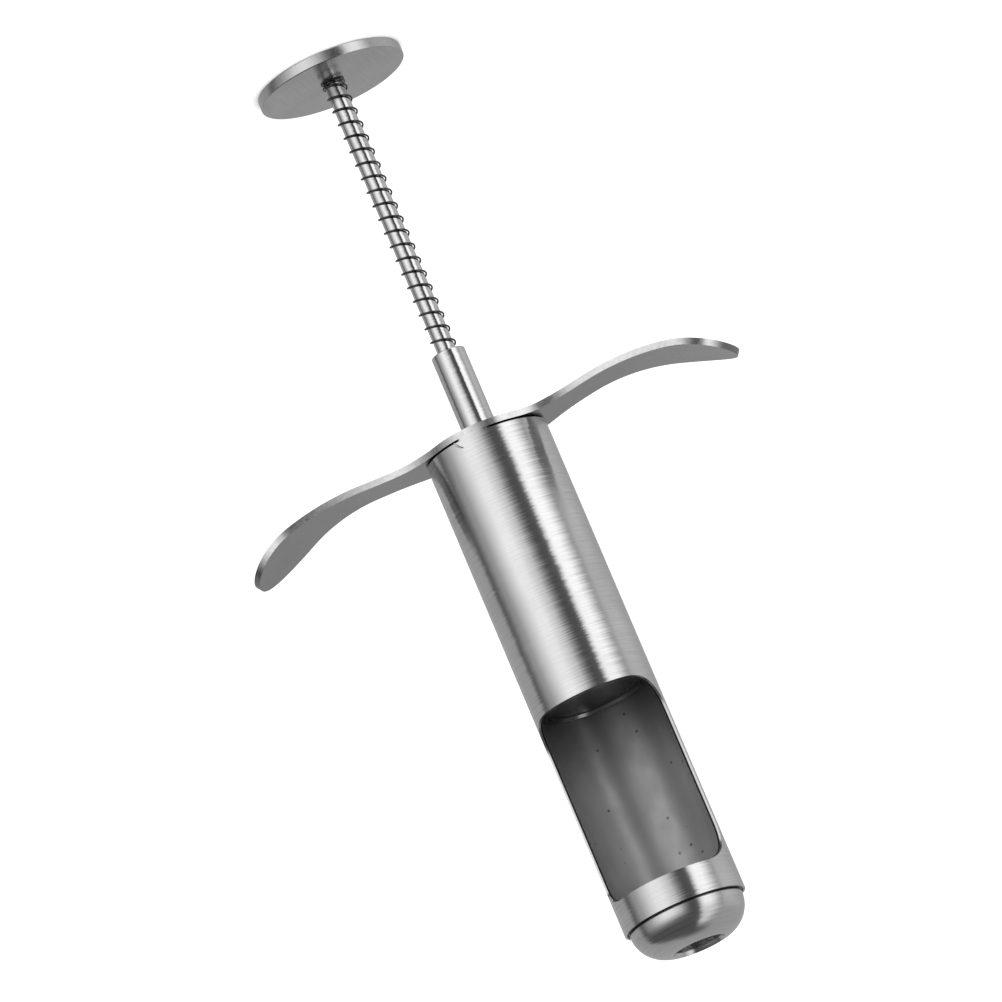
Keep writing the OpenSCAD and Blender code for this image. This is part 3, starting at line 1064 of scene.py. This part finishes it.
def studio_ring(tree, turn, panels):
    """Grey level round the studio at one height: the room, with the panels laid over it."""
    level = None
    for start, full, fading, end, grey in panels:
        rise = spread(tree, turn, 0, 1, start, full)
        fall = spread(tree, turn, 1, 0, fading, end)
        cover = maths(tree, "Math", "MULTIPLY", rise, fall)
        lay = tree.nodes.new("ShaderNodeMapRange")
        lay.inputs["To Min"].default_value = ROOM
        lay.inputs["To Max"].default_value = grey
        if level is not None:
            tree.links.new(level, lay.inputs["To Min"])
        tree.links.new(cover.outputs["Value"], lay.inputs["Value"])
        level = lay.outputs["Result"]
    return level


def build_world():
    """Plain white to the eye. The steel sees the panels standing round the tool, which change to the
    high ones and then to the dark zenith with the height of the direction."""
    world = bpy.data.worlds.new("studio")
    bpy.context.scene.world = world
    world.use_nodes = True
    tree = world.node_tree
    tree.nodes.clear()
    out = tree.nodes.new("ShaderNodeOutputWorld")
    turn = tree.nodes.new("ShaderNodeMapping")
    turn.vector_type = "POINT"
    turn.inputs["Rotation"].default_value = (0, 0, math.radians(90) + VIEW_AZIMUTH)
    split = tree.nodes.new("ShaderNodeSeparateXYZ")
    tree.links.new(coordinates(tree, "Generated"), turn.inputs["Vector"])
    tree.links.new(turn.outputs["Vector"], split.inputs["Vector"])
    angle = maths(tree, "Math", "ARCTAN2", split.outputs["Y"], split.outputs["X"])
    turned = spread(tree, angle.outputs["Value"], -180, 180, math.pi, -math.pi)
    surround = studio_ring(tree, turned, LOW_PANELS)
    ceiling = studio_ring(tree, turned, HIGH_PANELS)
    overhead = spread(tree, split.outputs["Z"], 0, 1, 0.15, 0.5)
    zenith = tree.nodes.new("ShaderNodeMapRange")
    zenith.inputs["From Min"].default_value = 0.9
    zenith.inputs["To Max"].default_value = ZENITH
    tree.links.new(split.outputs["Z"], zenith.inputs["Value"])
    tree.links.new(ceiling, zenith.inputs["To Min"])
    upper = zenith.outputs["Result"]
    seen = tree.nodes.new("ShaderNodeBackground")
    tree.links.new(blend(tree, overhead, surround, upper, "FLOAT"), seen.inputs["Color"])
    plain = tree.nodes.new("ShaderNodeBackground")
    plain.inputs["Color"].default_value = (1, 1, 1, 1)
    path = tree.nodes.new("ShaderNodeLightPath")
    mix = tree.nodes.new("ShaderNodeMixShader")
    tree.links.new(path.outputs["Is Camera Ray"], mix.inputs["Fac"])
    tree.links.new(seen.outputs["Background"], mix.inputs[1])
    tree.links.new(plain.outputs["Background"], mix.inputs[2])
    tree.links.new(mix.outputs["Shader"], out.inputs["Surface"])


def build_floor_light():
    """A wide soft light overhead that lights the floor and doesn't show in the steel."""
    data = bpy.data.lights.new("floor_light", "AREA")
    data.shape = "SQUARE"
    data.size = 14
    data.energy = 1500
    light = bpy.data.objects.new("floor_light", data)
    light.location = (0, 0, 8)
    light.visible_camera = False
    light.visible_glossy = False
    bpy.context.scene.collection.objects.link(light)


def build_studio():
    build_floor()
    build_world()
    build_floor_light()
    bpy.context.scene.view_settings.view_transform = "Standard"
    bpy.context.scene.view_settings.look = "None"


build_studio()
build_camera()
